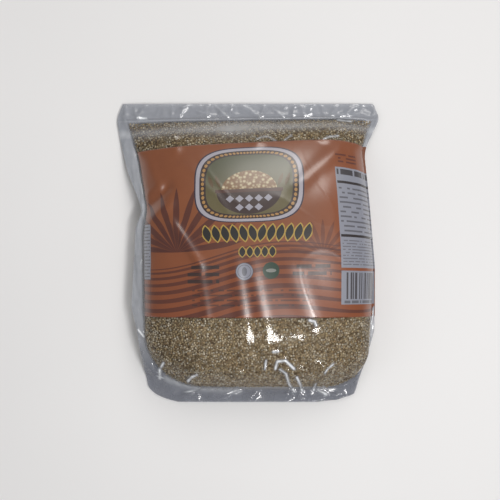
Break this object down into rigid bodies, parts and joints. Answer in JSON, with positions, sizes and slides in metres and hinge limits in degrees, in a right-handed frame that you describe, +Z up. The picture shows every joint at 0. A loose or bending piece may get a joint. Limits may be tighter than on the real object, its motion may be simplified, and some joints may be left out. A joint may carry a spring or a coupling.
{
  "type": "sealed clear bag of quinoa",
  "caption": "Sealed clear film bag of white quinoa lying on its back, a flat rib-sealed film flap at the top and a wide printed label band round its middle",
  "frame": {"origin": "under the middle of the bag, on the surface that it lies on", "axes": "+X to the right of the shown face, +Y towards the flat top seal, +Z up out of the shown face"},
  "size_m": [0.2311, 0.264, 0.0585],
  "materials": {
    "film": "clear glossy packing film with tan grain behind it",
    "quinoa": "small matt tan and cream seeds",
    "label": "satin orange-brown print with soft creases"
  },
  "bodies": {
    "root": {"bag": "film", "label": "label"}
  },
  "joints": []
}
